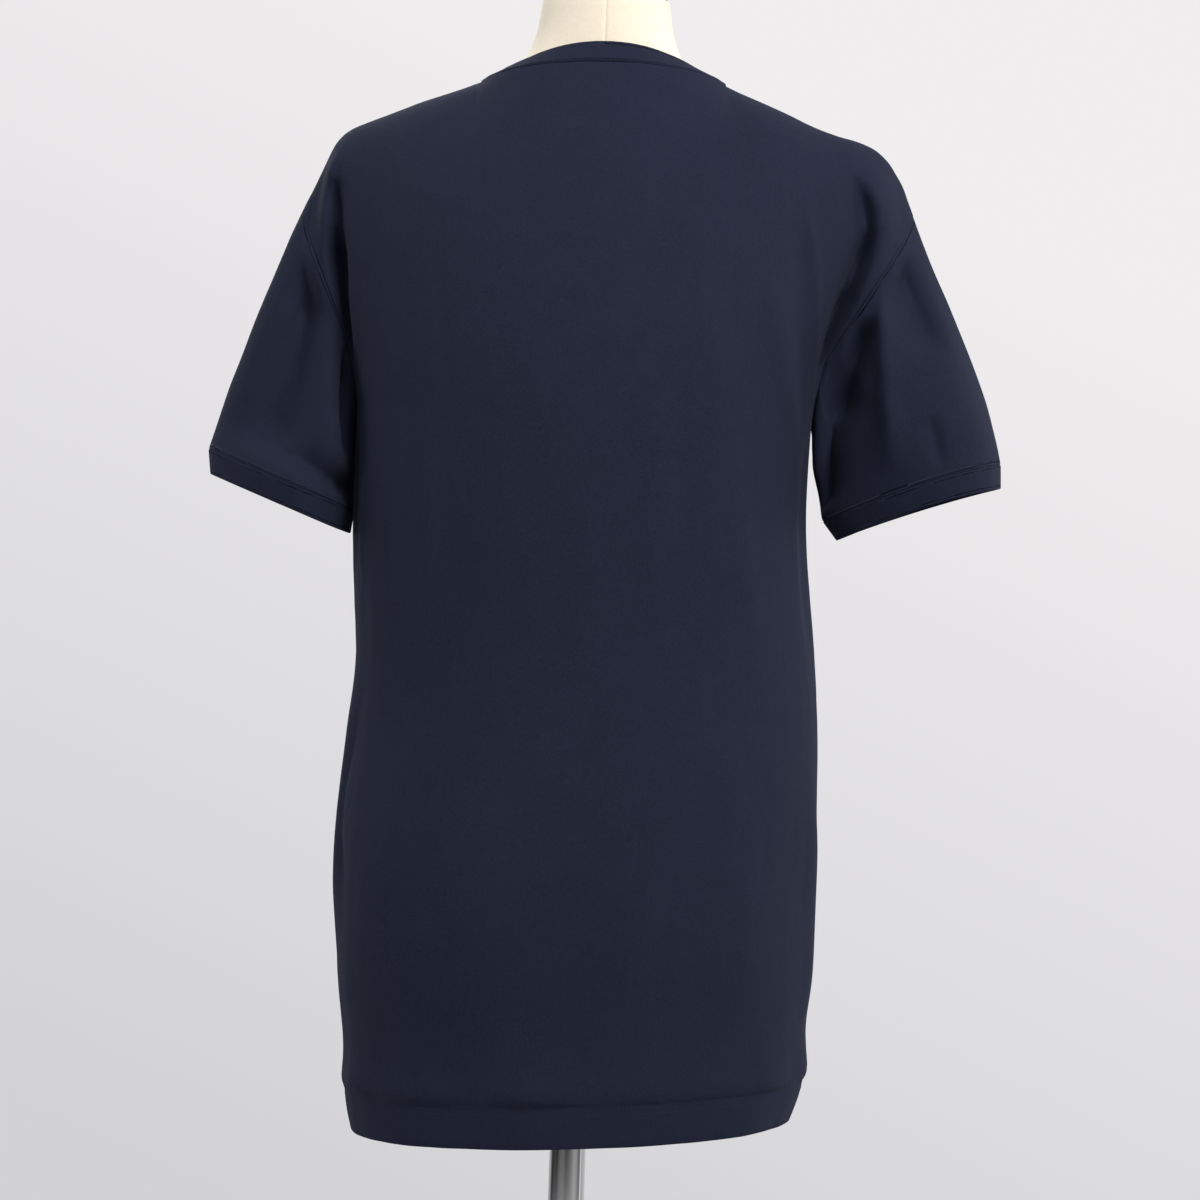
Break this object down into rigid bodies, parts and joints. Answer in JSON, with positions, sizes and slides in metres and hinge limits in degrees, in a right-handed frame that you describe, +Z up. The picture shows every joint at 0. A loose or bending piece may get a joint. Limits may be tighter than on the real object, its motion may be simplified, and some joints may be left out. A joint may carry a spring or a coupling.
{
  "type": "v-neck t-shirt on a limbless dress form with a pole stand",
  "caption": "Plain dark short-sleeved v-neck T-shirt, hollow and open at neck, sleeves and hem, worn by a padded limbless dress form on a pole with a round flat base.",
  "frame": {"origin": "On the floor under the pole, at the middle of the base's underside.", "axes": "+Z is up along the pole. The shirt's front faces -Y and the wearer's left is +X."},
  "size_m": [0.5483, 0.3, 1.1044],
  "materials": {
    "jersey": "fine cotton single jersey, deep navy, matt with a faint nap",
    "form_cover": "tight cream jersey cover, matt",
    "neck_cap": "brushed metal disc",
    "chrome": "bright chromed tube",
    "base_metal": "brushed steel plate"
  },
  "bodies": {
    "root": {"shirt_back": "jersey", "shirt_front": "jersey", "sleeve_left": "jersey", "sleeve_right": "jersey", "cuff_left": "jersey", "cuff_right": "jersey", "neckband": "jersey", "form_torso": "form_cover", "form_neck_cap": "neck_cap", "stand_pole": "chrome", "stand_base": "base_metal"}
  },
  "joints": []
}
